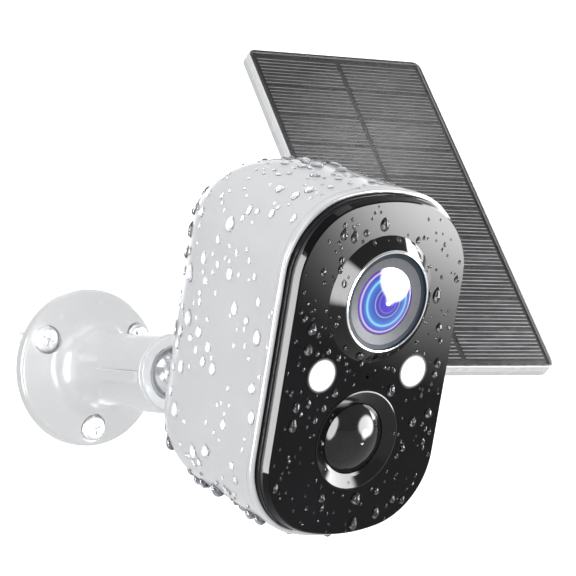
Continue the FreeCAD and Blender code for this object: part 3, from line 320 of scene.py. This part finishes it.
def dress_face():
    """The polished black face, with a matt bevel around it."""
    face = Surface("face_black", Specular_IOR_Level=0.15)
    face.tones(face.noise(40.0, 3.0), (0.002, 0.002, 0.003), (0.005, 0.005, 0.007))
    polish = face.span(face.noise(300.0, 3.0), 0.3, 0.7, 0.025, 0.06)
    height = face.along(HEAD.translation, HEAD_AXIS)
    matt = face.span(height, (FACE_OUT - BEVEL_DEEP - 0.5) * MM, (FACE_OUT - BEVEL_DEEP) * MM, 0.55, 0.0)
    face.to_shader(face.maths("ADD", polish, matt), "Roughness")
    dress("face_plate", face.material)
    dress("trim_ring", moulded("trim_black", (0.006, 0.006, 0.007), 0.1, tone=0.3, Specular_IOR_Level=0.25))
    dress("face_gasket", moulded("gasket_rubber", (0.02, 0.02, 0.02), 0.7, tone=0.2))


def dress_lens():
    """The rings around the lens, each drawn by its distance from the lens's axis, and the coated glass, whose
    coloured coating reflections and bright middle highlight are painted on as a glow.
    """
    lens = head_point(0, LENS_UP, FACE_OUT)
    dress("lens_bezel", moulded("bezel_black", (0.006, 0.006, 0.007), 0.05, tone=0.3, grain=2500.0,
                                depth=0.000001, Specular_IOR_Level=0.35))
    ring = Surface("silver_ring", Specular_IOR_Level=0.1)
    inside = RING_RADIUS - SILVER_WIDE
    outer = ring.span(ring.radial(lens, HEAD_AXIS), inside * MM, (inside + 0.06) * MM, 0.0, 1.0)
    ring.to_shader(ring.ramp(outer, [(0.4, SLATE), (0.6, (0.93, 0.94, 0.96))]), "Base Color")
    ring.to_shader(outer, "Metallic")
    ring.gloss(ring.noise(500.0), 0.12, 0.2)
    dress("lens_silver_ring", ring.material)
    dress("lens_slate_ring", moulded("slate_ring", SLATE, 0.4, tone=0.2, Specular_IOR_Level=0.1))
    barrel = Surface("barrel_grey", Specular_IOR_Level=0.1)
    dark, pale = (radius * MM for radius in BARREL_RADII)
    reach = barrel.span(barrel.radial(lens, HEAD_AXIS), dark, pale, 0.0, 1.0)
    greys = [(0.0, (0.01, 0.01, 0.012)), (0.42, (0.012, 0.012, 0.015)),
             (0.5, (0.28, 0.29, 0.31)), (1.0, (0.24, 0.25, 0.27))]
    barrel.to_shader(barrel.ramp(reach, greys), "Base Color")
    barrel.gloss(barrel.noise(500.0), 0.22, 0.36)
    dress("lens_barrel", barrel.material)
    glass = Surface("coated_glass", Roughness=0.03, Coat_Weight=1.0, Coat_Roughness=0.01, Coat_IOR=1.6)
    reach = glass.span(glass.radial(lens, HEAD_AXIS), 0.0, GLASS_RADIUS * MM, 0.0, 1.0)
    # Painted reflection and painted highlight: the coloured rings of the coating's reflections and a bright
    # dot at the middle, drawn by distance from the lens's axis.
    painted_coating_glow = [(0.0, (1.0, 0.9, 1.0)), (0.035, (0.6, 0.25, 1.0)), (0.08, (0.05, 0.01, 0.75)),
               (0.29, (0.01, 0.01, 0.6)), (0.32, (0.3, 0.15, 0.95)), (0.35, (0.02, 0.01, 0.4)),
               (0.43, (0.02, 0.03, 0.55)), (0.46, (0.4, 0.55, 1.0)), (0.49, (0.02, 0.05, 0.5)),
               (0.66, (0.01, 0.2, 0.8)), (0.73, (0.4, 0.9, 1.0)), (0.77, (0.02, 0.22, 0.85)),
               (0.87, (0.02, 0.03, 0.6)), (0.92, (1.0, 0.75, 1.0)), (0.95, (0.2, 0.08, 0.7)),
               (1.0, (0.01, 0.01, 0.3))]
    glass.to_shader(glass.ramp(reach, [(0.0, (0.01, 0.01, 0.06)), (1.0, (0.004, 0.004, 0.02))]), "Base Color")
    # Painted glow: the glass gives out the painted coating reflections and highlight as light, though it is
    # no lamp.
    glass.to_shader(glass.ramp(reach, painted_coating_glow), "Emission Color")
    glass.shader.inputs["Emission Strength"].default_value = 0.85
    dress("lens_front_glass", glass.material)
    dress("lens_inner_glass", moulded("inner_glass", (0.02, 0.03, 0.06), 0.05, Coat_Weight=1.0))


def dress_sensor():
    """The movement sensor's dark dome in its black funnel."""
    dress("pir_bezel", moulded("funnel_black", (0.006, 0.006, 0.007), 0.06, tone=0.3, grain=2500.0,
                               depth=0.000001, Specular_IOR_Level=0.35))
    dome = Surface("dome_dark", Specular_IOR_Level=0.4)
    dome.tones(dome.noise(120.0), (0.006, 0.006, 0.007), (0.016, 0.016, 0.018))
    dome.gloss(dome.noise(500.0), 0.06, 0.1)
    dress("pir_dome", dome.material)


def dress_windows():
    """The two lamp windows, bright in the middle and dark at the rim, and the reflectors behind them."""
    for side, across in (("left", -LED_RIGHT), ("right", LED_RIGHT)):
        window = Surface("window_white_" + side, Specular_IOR_Level=0.2)
        reach = window.radial(head_point(across, LED_UP, FACE_OUT), HEAD_AXIS)
        glow = window.span(reach, (LED_RADIUS - LED_SHADE) * MM, LED_RADIUS * MM, 1.0, 0.0)
        window.to_shader(window.ramp(glow, [(0.0, (0.02, 0.02, 0.02)), (0.45, (0.12, 0.12, 0.13)),
                                            (0.85, (0.9, 0.9, 0.88))]), "Base Color")
        lit = window.ramp(glow, [(0.3, (0.0, 0.0, 0.0)), (0.9, (1.0, 1.0, 1.0))])
        window.to_shader(lit, "Emission Color")
        window.shader.inputs["Emission Strength"].default_value = 0.55
        window.gloss(window.noise(300.0), 0.2, 0.32)
        dress("led_window_" + side, window.material)
        dress("led_reflector_" + side, moulded("reflector_" + side, (0.8, 0.8, 0.8), 0.2, Metallic=1.0))


def dress_inside():
    """The boards, cells, sockets and other parts inside the housing."""
    board = moulded("board_green", (0.02, 0.12, 0.05), 0.35, tone=0.35, grain=1200.0, Coat_Weight=0.4)
    for node in ("sensor_board", "front_board", "main_board"):
        dress(node, board)
    chip = moulded("chip_black", (0.02, 0.02, 0.022), 0.4, tone=0.2)
    for node in ("image_sensor", "microphone", "antenna", "speaker"):
        dress(node, chip)
    plastic = moulded("inner_plastic", (0.1, 0.1, 0.11), 0.45, tone=0.15)
    for node in ("lens_holder", "inner_chassis", "battery_cradle", "port_block"):
        dress(node, plastic)
    dress("led_chips", moulded("led_yellow", (0.85, 0.62, 0.12), 0.3, tone=0.2))
    steel = moulded("shield_steel", (0.6, 0.61, 0.63), 0.32, tone=0.1, Metallic=1.0)
    for node in ("pir_sensor", "housing_screws", "processor_shield", "usb_socket", "card_slot"):
        dress(node, steel)
    wrap = moulded("cell_wrap", (0.03, 0.16, 0.42), 0.3, tone=0.15, Coat_Weight=0.3)
    for node in ("battery_cell_left", "battery_cell_right"):
        dress(node, wrap)
    dress("memory_card", moulded("card_black", (0.02, 0.02, 0.03), 0.35, tone=0.2))
    for node in ("reset_button", "power_button"):
        dress(node, moulded(node + "_grey", (0.3, 0.31, 0.32), 0.4, tone=0.1))


def dress_panel():
    """The solar panel. Its white frame has a black border on the front, drawn by height."""
    border = Surface("panel_white")
    height = border.along(PANEL.translation, PANEL_AXIS)
    front = border.span(height, (PANEL_FRONT - 0.2) * MM, (PANEL_FRONT - 0.12) * MM, 0.0, 1.0)
    lower = border.span(height, (PANEL_FRONT - 2.9) * MM, (PANEL_FRONT - 2.6) * MM, 0.0, 1.0)
    band = border.ramp(lower, [(0.0, (0.74, 0.75, 0.76)), (1.0, (0.88, 0.89, 0.9))])
    mottle = border.ramp(border.noise(70.0, 3.0),
                         [(0.25, (0.012, 0.012, 0.013)), (0.75, (0.018, 0.018, 0.02))])
    border.to_shader(border.blend(front, band, mottle), "Base Color")
    border.gloss(border.noise(260.0), 0.22, 0.3)
    dress("panel_frame", border.material)
    dress("junction_box", moulded("junction_white", (0.8, 0.81, 0.82), 0.35, tone=0.04))
    dress("panel_backsheet", moulded("backsheet_black", (0.006, 0.006, 0.007), 0.3, tone=0.3))
    cell = Surface("solar_cell", Coat_Weight=0.3, Coat_Roughness=0.15)
    streaks = cell.noise(160.0, 4.0, stretch=(0.3, 1.0, 2.0))
    cell.tones(streaks, (0.005, 0.0055, 0.007), (0.013, 0.014, 0.017))
    cell.gloss(streaks, 0.18, 0.3)
    for side in ("left", "right"):
        dress("solar_cells_" + side, cell.material)
    cover = Surface("cover_clear", Alpha=0.16, Coat_Weight=0.7, Coat_Roughness=0.14)
    haze = cover.noise(900.0, 4.0)
    cover.tones(haze, (0.015, 0.015, 0.017), (0.04, 0.04, 0.045))
    cover.gloss(haze, 0.14, 0.26)
    dress("panel_cover_sheet", cover.material)


# ---------------------------------------------------------------- new pieces
def mesh_piece(name, vertices, faces, place, body, material, smooth=True):
    """A mesh in a local frame, riding on a body."""
    mesh = bpy.data.meshes.new(name)
    mesh.from_pydata([place @ Vector(vertex) for vertex in vertices], [], faces)
    mesh.validate()
    mesh.update()
    if smooth:
        mesh.polygons.foreach_set("use_smooth", [True] * len(mesh.polygons))
    mesh.materials.append(material)
    piece = bpy.data.objects.new(name, mesh)
    bpy.context.scene.collection.objects.link(piece)
    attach(piece, body)
    return piece


def finger_lines():
    """The printed silver lines of each cell, one piece for each string."""
    silver = Surface("finger_silver", Metallic=0.3)
    print_tone = silver.noise(600.0, 3.0, stretch=(0.2, 1.0, 1.0))
    silver.tones(print_tone, (0.26, 0.26, 0.27), (0.44, 0.44, 0.45))
    silver.gloss(print_tone, 0.3, 0.5)
    wide, tall = PANEL_INNER
    cell_wide = (wide - STRING_GAP) / 2
    pitch = tall / CELLS
    cell_tall = pitch - CELL_GAP
    low = PANEL_FRONT - FINGER_DEPTH
    high = low + FINGER_THICK
    half = FINGER_WIDE / 2
    for side, name in ((-1, "left"), (1, "right")):
        x_low = STRING_GAP / 2 if side > 0 else -STRING_GAP / 2 - cell_wide
        x_high = x_low + cell_wide
        vertices, faces = [], []
        for cell in range(CELLS):
            y_low = -tall / 2 + pitch * cell + CELL_GAP / 2
            for line in range(FINGERS):
                y = y_low + cell_tall * (line + 0.5) / FINGERS
                first = len(vertices)
                corners = ((x_low, y - half), (x_high, y - half), (x_high, y + half), (x_low, y + half))
                for z in (low, high):
                    vertices += [(x * MM, v * MM, z * MM) for x, v in corners]
                faces += [tuple(first + k for k in (3, 2, 1, 0)), tuple(first + k for k in (4, 5, 6, 7))]
                for k in range(4):
                    after = (k + 1) % 4
                    faces.append((first + k, first + after, first + 4 + after, first + 4 + k))
        fingers = mesh_piece("finger_lines_" + name, vertices, faces, PANEL, "panel", silver.material, False)


class Drops:
    """Water drops that cling to the outside of the camera head."""
    RINGS = 7
    SPOKES = 16
    SPACING = 1.15
    SPACING_ON_SIDES = 0.45
    RIM_SUNK = 0.00005
    BOTTOM_SUNK = 0.00012
    SURFACES = ("housing_shell", "port_cover", "face_plate", "trim_ring", "lens_bezel", "lens_silver_ring",
                "lens_slate_ring", "lens_barrel", "lens_front_glass", "pir_bezel", "pir_dome",
                "led_window_left", "led_window_right")

    def __init__(self):
        self.dice = random.Random(11)
        vertices, polygons, owners = [], [], []
        for node in self.SURFACES:
            mesh = NODES[node].data
            first = len(vertices)
            vertices += [vertex.co.copy() for vertex in mesh.vertices]
            for polygon in mesh.polygons:
                polygons.append([first + index for index in polygon.vertices])
                owners.append(node)
        self.tree = BVHTree.FromPolygons(vertices, polygons)
        self.owners = owners
        self.taken = []
        self.vertices, self.faces, self.reaches = [], [], []

    def hit(self, start, direction, allowed):
        """Where a ray meets one of the allowed pieces, with the surface's outward direction."""
        place, normal, index, _ = self.tree.ray_cast(start, direction)
        if place is None or self.owners[index] not in allowed:
            return None
        if normal.dot(direction) > 0:
            normal = -normal
        return place, normal

    def fits(self, place, normal, radius):
        """Room for a drop: clear of its neighbours and wholly on one smooth surface."""
        apart = self.SPACING + self.SPACING_ON_SIDES * (1.0 - abs(normal.z))
        if any((place - other).length < (radius + size) * apart for other, size in self.taken):
            return False
        _, _, home, _ = self.tree.find_nearest(place)
        across = normal.orthogonal().normalized()
        along = normal.cross(across)
        for step in range(8):
            angle = math.pi / 4 * step
            point = place + (across * math.cos(angle) + along * math.sin(angle)) * radius * 1.5
            _, side, index, gap = self.tree.find_nearest(point)
            if self.owners[index] != self.owners[home] or gap > radius * 0.35 or abs(side.dot(normal)) < 0.8:
                return False
        return True

    def add(self, place, normal, radius):
        """One drop of a given radius (metres): round on top, a tear on the sides, hanging underneath."""
        down = Vector((0.0, 0.0, -1.0))
        slide = down - normal * down.dot(normal)
        steep = slide.length
        up = -slide.normalized() if steep > 1e-3 else normal.orthogonal().normalized()
        across = up.cross(normal).normalized()
        under = max(0.0, down.dot(normal))
        length = 1.0 + steep * self.dice.uniform(0.15, 0.75)
        height = radius * self.dice.uniform(0.55, 0.8) * (1.0 + 0.7 * under)
        taper = steep * self.dice.uniform(0.25, 0.7)
        wave_two, wave_three = self.dice.uniform(0, 6.28), self.dice.uniform(0, 6.28)
        first = len(self.vertices)
        grid = [(0.0, 0.0)]
        for ring in range(1, self.RINGS + 1):
            grid += [(math.sin(math.pi / 2 * ring / self.RINGS), 2 * math.pi * spoke / self.SPOKES)
                     for spoke in range(self.SPOKES)]
        for reach, angle in grid:
            wobble = 1 + 0.06 * math.cos(2 * angle + wave_two) + 0.04 * math.cos(3 * angle + wave_three)
            u = reach * math.cos(angle) * wobble
            v = reach * math.sin(angle) * wobble
            wide = 1.0 - taper * max(0.0, v) ** 1.4
            point = place + across * (u * wide * radius) + up * (v * length * radius)
            base, base_normal, _, _ = self.tree.find_nearest(point)
            if base_normal.dot(normal) < 0:
                base_normal = -base_normal
            rise = height * math.sqrt(max(0.0, 1.0 - reach * reach)) * (1.0 - 0.3 * steep * v)
            sunk = self.RIM_SUNK if reach > 0.999 else 0.0
            self.vertices.append(base + base_normal * rise - normal * sunk)
            self.reaches.append(reach)
        bottom = len(self.vertices)
        self.vertices.append(place - normal * self.BOTTOM_SUNK)
        self.reaches.append(1.0)
        for spoke in range(self.SPOKES):
            after = (spoke + 1) % self.SPOKES
            self.faces.append((first, first + 1 + spoke, first + 1 + after))
            for ring in range(self.RINGS - 1):
                a = first + 1 + ring * self.SPOKES
                b = a + self.SPOKES
                self.faces.append((a + spoke, b + spoke, b + after, a + after))
            outer = first + 1 + (self.RINGS - 1) * self.SPOKES
            self.faces.append((outer + after, outer + spoke, bottom))
        self.taken.append((place, radius))

    def size(self, small, large):
        """Mostly small drops with a few large ones."""
        return (small + (large - small) * self.dice.random() ** 2.6) * MM

    def on_shell(self, wanted):
        """Drops all around the housing, found by rays aimed inwards from beyond its sides."""
        placed = tries = 0
        while placed < wanted and tries < wanted * 12:
            tries += 1
            angle = self.dice.uniform(0, 2 * math.pi)
            depth = self.dice.uniform(24.0, RIM_OUT - 0.8)
            rim = Vector((math.cos(angle) * 40 + self.dice.uniform(-12, 12),
                          HEAD_UP + math.sin(angle) * 60 + self.dice.uniform(-25, 25), depth))
            aim = Vector((0, HEAD_UP + (rim.y - HEAD_UP) * self.dice.uniform(0.35, 0.75), depth - 3))
            start = head_point(*rim)
            direction = (head_point(*aim) - start).normalized()
            found = self.hit(start, direction, ("housing_shell",))
            radius = self.size(*SHELL_DROP_RADII)
            if not found or found[1].dot(HEAD_AXIS) > 0.5 or not self.fits(*found, radius):
                continue
            if (found[0] - head_point(0, 0, BOSS_OUT)).length < BOSS_CLEAR * MM:
                continue
            self.add(*found, radius)
            placed += 1

    def on_face(self, wanted):
        """Drops on the black face and its funnels, found by rays aimed straight at it."""
        placed = tries = 0
        while placed < wanted and tries < wanted * 12:
            tries += 1
            across = self.dice.uniform(-31, 31)
            start = head_point(across, HEAD_UP + self.dice.uniform(-50, 50), FACE_OUT + 20)
            found = self.hit(start, -HEAD_AXIS, ("face_plate", "lens_bezel", "pir_bezel"))
            radius = self.size(*FACE_DROP_RADII)
            if not found or found[1].dot(HEAD_AXIS) < 0.5 or not self.fits(*found, radius):
                continue
            self.add(*found, radius)
            placed += 1

    def piece(self, name, material):
        """The drops so far as one piece; each point keeps how far it is from its drop's middle, from which
        the water paints shade at the rims.
        """
        drops = mesh_piece(name, self.vertices, self.faces, Matrix.Identity(4), "camera_head", material)
        # The distance from the drop's middle, kept for the water's painted rim shade.
        painted_rim_shade = drops.data.attributes.new("reach", "FLOAT", "POINT")
        painted_rim_shade.data.foreach_set("value", self.reaches)
        self.vertices, self.faces, self.reaches = [], [], []
        return drops


def water_drops():
    """Clear drops with painted dark rims, on the housing and on the face: painted shade that stands in for
    the dark refraction and reflection at their edges.
    """
    water = Surface("water", Roughness=0.0, IOR=1.33, Transmission_Weight=0.96, Specular_IOR_Level=0.12)
    reach = water.add("ShaderNodeAttribute", attribute_name="reach").outputs["Fac"]
    # Painted shade: the drop's colour darkens towards its rim, standing in for the dark refraction and
    # reflection at a drop's edge.
    painted_rim_shade = [(0.0, (0.93, 0.94, 0.95)), (0.6, (0.9, 0.91, 0.92)), (0.8, (0.6, 0.61, 0.63)),
               (0.92, (0.22, 0.22, 0.24)), (1.0, (0.08, 0.08, 0.09))]
    water.to_shader(water.ramp(reach, painted_rim_shade), "Base Color")
    water.bump(water.noise(300.0), 0.05, 0.00005)
    drops = Drops()
    drops.on_shell(SHELL_DROPS)
    drops.piece("water_drops_housing", water.material)
    drops.on_face(FACE_DROPS)
    drops.piece("water_drops_face", water.material)


# ---------------------------------------------------------------- stage and light
def make_stage():
    """A pale floor that curves up into a pale backdrop, which glows behind the object."""
    drop, reach, bend, tall = -0.25, 3.0, 1.0, 4.0
    bend_start, bend_steps = 1.2, 16
    glow_centre, glow_inner, glow_outer = (1.5, 2.0, 0.0), 1.0, 1.45
    profile = [(-reach, drop), (bend_start, drop)]
    for step in range(1, bend_steps + 1):
        angle = math.pi / 2 * step / bend_steps
        profile.append((bend_start + bend * math.sin(angle), drop + bend * (1 - math.cos(angle))))
    profile.append((bend_start + bend, tall))
    vertices = [(x, y, z) for x in (-reach * 1.5, reach * 1.5) for y, z in profile]
    count = len(profile)
    faces = [(k, k + count, k + count + 1, k + 1) for k in range(count - 1)]
    mesh = bpy.data.meshes.new("floor")
    mesh.from_pydata(vertices, [], faces)
    mesh.polygons.foreach_set("use_smooth", [True] * len(mesh.polygons))
    paper = Surface("paper", Roughness=0.9, Specular_IOR_Level=0.0, Emission_Color=(1.0, 1.0, 1.0, 1.0))
    paper.tones(paper.noise(6.0), (0.93, 0.93, 0.93), (0.95, 0.95, 0.95))
    apart = paper.add("ShaderNodeVectorMath", operation="DISTANCE")
    paper.wire(paper.place, apart, 0)
    apart.inputs[1].default_value = glow_centre
    glow = paper.span(apart.outputs["Value"], glow_inner, glow_outer, 0.9, 0.08)
    paper.to_shader(glow, "Emission Strength")
    mesh.materials.append(paper.material)
    floor = bpy.data.objects.new("floor", mesh)
    bpy.context.scene.collection.objects.link(floor)


def fade_out(data, core):
    """Make an area light an ellipse that fades between a share of its size and its rim."""
    data.use_nodes = True
    tree = data.node_tree
    place = tree.nodes.new("ShaderNodeNewGeometry").outputs["Parametric"]
    offset = tree.nodes.new("ShaderNodeVectorMath")
    offset.operation = "SUBTRACT"
    offset.inputs[1].default_value = (0.5, 0.5, 0.0)
    tree.links.new(place, offset.inputs[0])
    length = tree.nodes.new("ShaderNodeVectorMath")
    length.operation = "LENGTH"
    tree.links.new(offset.outputs["Vector"], length.inputs[0])
    fade = tree.nodes.new("ShaderNodeMapRange")
    fade.interpolation_type = "SMOOTHSTEP"
    fade.inputs["From Min"].default_value = 0.5
    fade.inputs["From Max"].default_value = core
    tree.links.new(length.outputs["Value"], fade.inputs["Value"])
    tree.links.new(fade.outputs["Result"], tree.nodes["Emission"].inputs["Strength"])


def softbox(name, centre, target, size, power, size_y=None, glossy_only=False, soft=0.0, along=(0, 0, 1)):
    """A light aimed at a point, its height along a direction.

    A soft one fades towards its rim. Like a glossy_only one, it shows in reflections and gives
    no diffuse light.
    """
    data = bpy.data.lights.new(name, "AREA")
    data.shape = "RECTANGLE"
    data.size = size
    data.size_y = size_y or size
    data.energy = power
    light = bpy.data.objects.new(name, data)
    bpy.context.scene.collection.objects.link(light)
    light.location = centre
    z = (Vector(centre) - Vector(target)).normalized()
    y = (Vector(along) - z * z.dot(along)).normalized()
    light.rotation_euler = Matrix((y.cross(z), y, z)).transposed().to_euler()
    light.visible_camera = False
    light.visible_diffuse = not (glossy_only or soft > 0.0)
    if soft:
        fade_out(data, soft)


def make_lights():
    """Plain soft lights, and soft boxes placed where the photograph shows their reflections."""
    world = bpy.data.worlds.new("studio")
    bpy.context.scene.world = world
    world.use_nodes = True
    background = world.node_tree.nodes["Background"]
    background.inputs["Color"].default_value = (1.0, 1.0, 1.0, 1.0)
    background.inputs["Strength"].default_value = 0.5
    lens = head_point(0, LENS_UP, FACE_OUT)
    softbox("key", (-0.9, -0.9, 1.3), (0, -0.05, 0), 1.0, 8.5)
    softbox("top", (0.2, -0.2, 1.4), (0, -0.05, 0), 0.8, 3.0)
    softbox("face_glow", lens + Vector((0.452, -0.358, -0.166)), lens, 0.24, 4.0, soft=0.08)
    softbox("glass_disc", lens + Vector((0.41, -0.29, -0.03)), lens, 0.5, 11.0, size_y=0.36, soft=0.34)
    softbox("left_strip", lens + Vector((-0.56, 0.2, 0.0)), lens, 0.25, 20.0, size_y=0.64, glossy_only=True)
    softbox("right_side", lens + Vector((0.57, -0.01, 0.2)), lens, 0.2, 4.2, size_y=0.36, glossy_only=True)
    corner = PANEL @ Vector((0.034, 0.062, PANEL_FRONT * MM))
    softbox("panel_glare", corner + Vector((0.333, -0.145, 0.476)), corner, 0.13, 0.28, soft=0.05)
    softbox("bezel_arc", lens + Vector((-0.216, -0.392, -0.028)), lens, 0.15, 4.5, size_y=0.52, soft=0.36,
            along=(0.1, -0.105, 0.363))


# ---------------------------------------------------------------- the scene
make_camera()
make_stage()
make_lights()
dress_mounts()
dress_shell()
dress_face()
dress_lens()
dress_sensor()
dress_windows()
dress_inside()
dress_panel()
finger_lines()
water_drops()
bpy.context.scene.view_settings.view_transform = "Standard"
bpy.context.scene.view_settings.look = "None"
